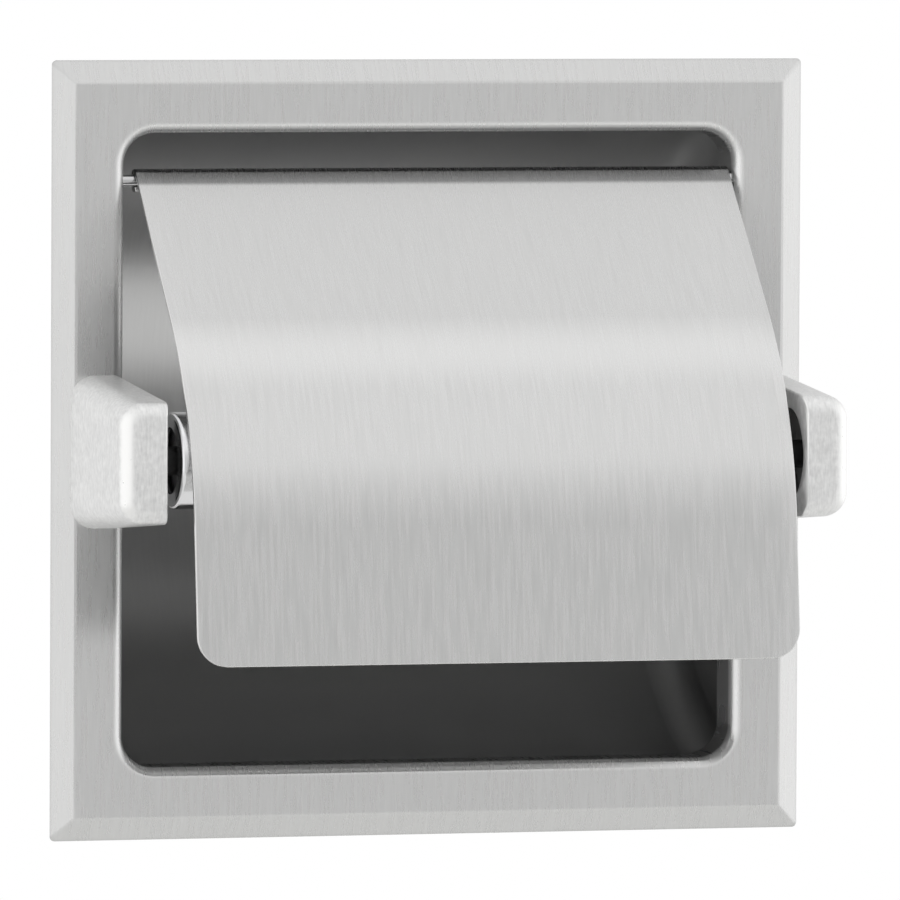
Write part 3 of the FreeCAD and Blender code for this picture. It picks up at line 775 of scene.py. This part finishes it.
def pan_head(tree, size):
    """Low head with a round upper edge and a cross recess."""
    half = calculate(tree, "MULTIPLY", size["Head diameter"], 0.5)
    height = size["Head height"]
    edge = calculate(tree, "MULTIPLY", height, head_round_share)
    flat = calculate(tree, "SUBTRACT", half, edge)
    side = calculate(tree, "SUBTRACT", height, edge)
    profile = [(0.0, 0.0), (half, 0.0)]
    for step in range(head_round_steps + 1):
        angle = QUARTER_TURN * step / head_round_steps
        out = calculate(tree, "MULTIPLY", edge, math.cos(angle))
        rise = calculate(tree, "MULTIPLY", edge, math.sin(angle))
        profile.append((calculate(tree, "ADD", flat, out), calculate(tree, "ADD", side, rise)))
    profile.append((0.0, height))
    head = turned(tree, profile, head_sides)
    long = calculate(tree, "MULTIPLY", size["Head diameter"], driver_length_share)
    narrow = calculate(tree, "MULTIPLY", size["Head diameter"], driver_width_share)
    for across, tall, share in ((long, narrow, 1.0), (narrow, long, driver_second_share)):
        deep = calculate(tree, "MULTIPLY", height, 2 * driver_depth_share * share)
        bar = add_node(tree, "ShaderNodeCombineXYZ", {"X": across, "Y": tall, "Z": deep})
        bar = add_node(tree, "GeometryNodeMeshCube", {"Size": bar.outputs["Vector"]})
        top = add_node(tree, "ShaderNodeCombineXYZ", {"Z": height})
        bar = add_node(tree, "GeometryNodeTransform", {
            "Geometry": bar.outputs["Mesh"], "Translation": top.outputs["Vector"],
        })
        head = cut_out(tree, head, bar.outputs["Geometry"])
    return head


def places(spread, rise, y):
    """Sizes of a level row of two places, or of a block of four, at one depth."""
    return {
        "Spread": spread,
        "Rise": rise,
        "Across": 2,
        "Up": 2 if rise else 1,
        "Middle": (0.0, y, 0.0),
    }


def axis_spread(node, screw):
    """Distance across between the axes of a node's screws."""
    low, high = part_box(node)
    return high.x - low.x - screw["head"]


def place_grid(tree, size):
    """Points of a level row or block, facing the wall."""
    grid = add_node(tree, "GeometryNodeMeshGrid", {
        "Size X": size["Spread"], "Size Y": size["Rise"],
        "Vertices X": size["Across"], "Vertices Y": size["Up"],
    })
    upright = add_node(tree, "GeometryNodeTransform", {
        "Geometry": grid.outputs["Mesh"], "Rotation": (QUARTER_TURN, 0.0, 0.0),
        "Translation": size["Middle"],
    })
    return upright.outputs["Geometry"]


def repeated(tree, size, shape, head_way):
    """Copies of a shape on the grid of places, with its +Z turned towards +Y or -Y."""
    copies = add_node(tree, "GeometryNodeInstanceOnPoints", {
        "Points": place_grid(tree, size), "Instance": shape,
        "Rotation": (-head_way * QUARTER_TURN, 0.0, 0.0),
    })
    return copies.outputs["Instances"]


def make_screws(node, head_way, screw, rise, material):
    """Machine screws of one node; head_way is the side of the heads along Y."""
    low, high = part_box(node)
    seat = (high.y if head_way > 0 else low.y) - head_way * screw["head_height"]
    sizes = {
        "Thread diameter": screw["thread"],
        "Pitch": screw["pitch"],
        "Length": high.y - low.y - screw["head_height"],
        "Head diameter": screw["head"],
        "Head height": screw["head_height"],
        **places(axis_spread(node, screw), rise, seat),
    }
    tree, size = new_tree(node, sizes)
    rows = thread_rows * math.ceil(sizes["Length"] / screw["pitch"] + thread_spare_turns)
    both = add_node(tree, "GeometryNodeJoinGeometry")
    feed(tree, both.inputs[0], threaded_shank(tree, size, rows))
    feed(tree, both.inputs[0], pan_head(tree, size))
    finish_tree(tree, repeated(tree, size, both.outputs["Geometry"], head_way), material)
    settle(grown(node + "_threaded", tree, sizes), node, "housing")


def make_nuts(material):
    """Hexagon nuts with both ends chamfered to a circle."""
    low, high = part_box("clamp_nuts")
    sizes = {
        "Across flats": high.z - low.z,
        "Height": high.y - low.y,
        "Bore radius": nut_bore_r,
        **places(axis_spread("clamp_screws", clamp_screw), 0.0, low.y),
    }
    tree, size = new_tree("clamp_nuts", sizes)
    height = size["Height"]
    bore = size["Bore radius"]
    flat = calculate(tree, "MULTIPLY", size["Across flats"], 0.5)
    corner = calculate(tree, "MULTIPLY", size["Across flats"], 1 / math.sqrt(3))
    wide = calculate(tree, "MULTIPLY", corner, nut_ring_share)
    drop = calculate(tree, "MULTIPLY", calculate(tree, "SUBTRACT", wide, flat), math.tan(nut_chamfer))
    shoulder = calculate(tree, "SUBTRACT", height, drop)
    ring = turned(tree, [
        (bore, 0.0), (flat, 0.0), (wide, drop), (wide, shoulder),
        (flat, height), (bore, height), (bore, 0.0),
    ], nut_ring_sides)
    below = calculate(tree, "MULTIPLY", height, -nut_prism_overrun)
    above = calculate(tree, "MULTIPLY", height, 1 + nut_prism_overrun)
    prism = turned(tree, [
        (0.0, below), (corner, below), (corner, above), (0.0, above),
    ], nut_hexagon_sides)
    nut = add_node(tree, "GeometryNodeMeshBoolean", operation="INTERSECT", solver="EXACT")
    feed(tree, nut.inputs["Mesh 2"], ring)
    feed(tree, nut.inputs["Mesh 2"], prism)
    finish_tree(tree, repeated(tree, size, nut.outputs["Mesh"], 1), material)
    settle(grown("clamp_nuts_chamfered", tree, sizes), "clamp_nuts", "clamp")


def make_strap(material):
    """Strap bent along a path behind the recess, with two screw holes."""
    low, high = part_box("wall_clamp")
    half = strap_sheet / 2
    foot_y = low.y + half
    back_y = high.y - half
    foot_z = high.z
    sizes = {
        "Strap width": high.x - low.x,
        "Sheet": strap_sheet,
        "Bend radius": strap_bend_r + half,
        "Edge radius": strap_edge_r,
        "Hole radius": strap_hole_r,
        **places(axis_spread("clamp_screws", clamp_screw), 0.0, back_y),
    }
    tree, size = new_tree("wall_clamp", sizes)
    path = [
        (foot_y, foot_z), (foot_y, strap_arm_z), (back_y, strap_arm_z),
        (back_y, -strap_arm_z), (foot_y, -strap_arm_z), (foot_y, -foot_z),
    ]
    line = add_node(tree, "GeometryNodeMeshLine", {"Count": len(path)})
    number = add_node(tree, "GeometryNodeInputIndex").outputs["Index"]
    y, z = (pick(tree, number, values) for values in zip(*path))
    place = add_node(tree, "ShaderNodeCombineXYZ", {"Y": y, "Z": z})
    line = add_node(tree, "GeometryNodeSetPosition", {
        "Geometry": line.outputs["Mesh"], "Position": place.outputs["Vector"],
    })
    line = add_node(tree, "GeometryNodeMeshToCurve", {"Mesh": line.outputs["Geometry"]})
    bent = add_node(tree, "GeometryNodeFilletCurve", {
        "Curve": line.outputs["Curve"], "Count": strap_bend_steps, "Radius": size["Bend radius"],
    }, mode="POLY")
    section = add_node(tree, "GeometryNodeCurvePrimitiveQuadrilateral", {
        "Width": size["Strap width"], "Height": size["Sheet"],
    })
    section = add_node(tree, "GeometryNodeFilletCurve", {
        "Curve": section.outputs["Curve"], "Count": strap_edge_steps, "Radius": size["Edge radius"],
    }, mode="POLY")
    strap = add_node(tree, "GeometryNodeCurveToMesh", {
        "Curve": bent.outputs["Curve"], "Profile Curve": section.outputs["Curve"], "Fill Caps": True,
    })
    deep = calculate(tree, "MULTIPLY", size["Sheet"], 2.0)
    shallow = calculate(tree, "MULTIPLY", deep, -1.0)
    hole = turned(tree, [
        (0.0, shallow), (size["Hole radius"], shallow), (size["Hole radius"], deep), (0.0, deep),
    ], head_sides)
    holes = add_node(tree, "GeometryNodeRealizeInstances", {"Geometry": repeated(tree, size, hole, 1)})
    finish_tree(tree, cut_out(tree, strap.outputs["Mesh"], holes.outputs["Geometry"]), material)
    settle(grown("wall_clamp_strap", tree, sizes), "wall_clamp", "clamp")


def make_spring(material):
    """Open coil in the sleeve."""
    low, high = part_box("spindle_spring")
    spindle = joints["spindle_spin"]["pos_m"]
    length = high.x - low.x
    sizes = {
        "Wire diameter": spring_wire_d,
        "Coil radius": (high.z - low.z - spring_wire_d) / 2,
        "Coil length": length - spring_wire_d,
        "Turns": spring_turns,
        "Start": (low.x + spring_wire_d / 2, spindle[1], spindle[2]),
    }
    tree, size = new_tree("spindle_spring", sizes)
    coil = add_node(tree, "GeometryNodeCurveSpiral", {
        "Resolution": spring_steps_a_turn, "Rotations": size["Turns"], "Height": size["Coil length"],
        "Start Radius": size["Coil radius"], "End Radius": size["Coil radius"],
    })
    level = add_node(tree, "GeometryNodeTransform", {
        "Geometry": coil.outputs["Curve"], "Rotation": (0.0, QUARTER_TURN, 0.0),
        "Translation": size["Start"],
    })
    section = add_node(tree, "GeometryNodeCurvePrimitiveCircle", {
        "Resolution": spring_wire_sides,
        "Radius": calculate(tree, "MULTIPLY", size["Wire diameter"], 0.5),
    })
    wire = add_node(tree, "GeometryNodeCurveToMesh", {
        "Curve": level.outputs["Geometry"], "Profile Curve": section.outputs["Curve"], "Fill Caps": True,
    })
    finish_tree(tree, wire.outputs["Mesh"], material)
    spring = grown("spindle_spring_coil", tree, sizes)
    settle(spring, "spindle_spring", "spindle")
    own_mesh(spring)


def dress(material, *names):
    for name in names:
        mesh = nodes[name].data
        mesh.materials.clear()
        mesh.materials.append(material)


add_camera()
add_world()
add_stage()

flange_steel = brushed_metal(
    "flange_steel", (0.66, 0.66, 0.655), roughness=0.28, stretch=upright_grain,
    anisotropy=sheet_anisotropy, grain=0.07, bump=0.0, spread=0.015, metal=0.85)
# Painted highlight on the lip and painted shade on the collar.
bright_lip(flange_steel)
hood_steel = brushed_metal(
    "hood_steel", (0.68, 0.68, 0.675), roughness=0.26, stretch=upright_grain,
    anisotropy=sheet_anisotropy, grain=0.075, bump=0.004)
# Painted shade along the hood's curl.
roll_band(hood_steel)
recess_steel = brushed_metal(
    "recess_steel", (0.67, 0.67, 0.67), roughness=0.34, stretch=upright_grain,
    anisotropy=recess_anisotropy, bump=0.0, spread=0.015)
# Painted shade near the recess's floor and ceiling.
dull_recess(recess_steel)
post_casting = cast_metal("post_casting", (0.8, 0.8, 0.795), roughness=0.4, metal=0.66)
rod_steel = brushed_metal("rod_steel", (0.62, 0.62, 0.62), roughness=0.2, stretch=drawn_grain)
spindle_chrome = brushed_metal(
    "spindle_chrome", (0.8, 0.8, 0.81), roughness=0.12, stretch=polish_rings)
plug_moulding = moulding("plug_moulding", (0.02, 0.02, 0.02), roughness=0.45)
zinc = brushed_metal("zinc_plate", (0.62, 0.63, 0.65), roughness=0.4, stretch=fine_mottle)
clamp_steel = brushed_metal("clamp_steel", (0.6, 0.61, 0.63), roughness=0.42, stretch=coarse_mottle)
spring_wire = brushed_metal("spring_wire", (0.5, 0.5, 0.5), roughness=0.3, stretch=fine_mottle)

make_hood(hood_steel)
make_screws("post_screws", 1, post_screw, post_screw_rise, zinc)
make_screws("clamp_screws", -1, clamp_screw, 0.0, zinc)
make_nuts(zinc)
make_strap(clamp_steel)
make_spring(spring_wire)
dress(flange_steel, "face_flange")
dress(hood_steel, "hood")
dress(recess_steel, "recess_wrap", "recess_end_left", "recess_end_right")
dress(post_casting, "post_left", "post_right")
dress(rod_steel, "hinge_rod")
dress(spindle_chrome, "spindle_sleeve", "spindle_plunger")
dress(plug_moulding, "sleeve_plug", "plunger_plug")
dress(spring_wire, "spindle_spring")
dress(clamp_steel, "wall_clamp")
dress(zinc, "post_screws", "post_washers", "clamp_screws", "clamp_washers", "clamp_nuts")
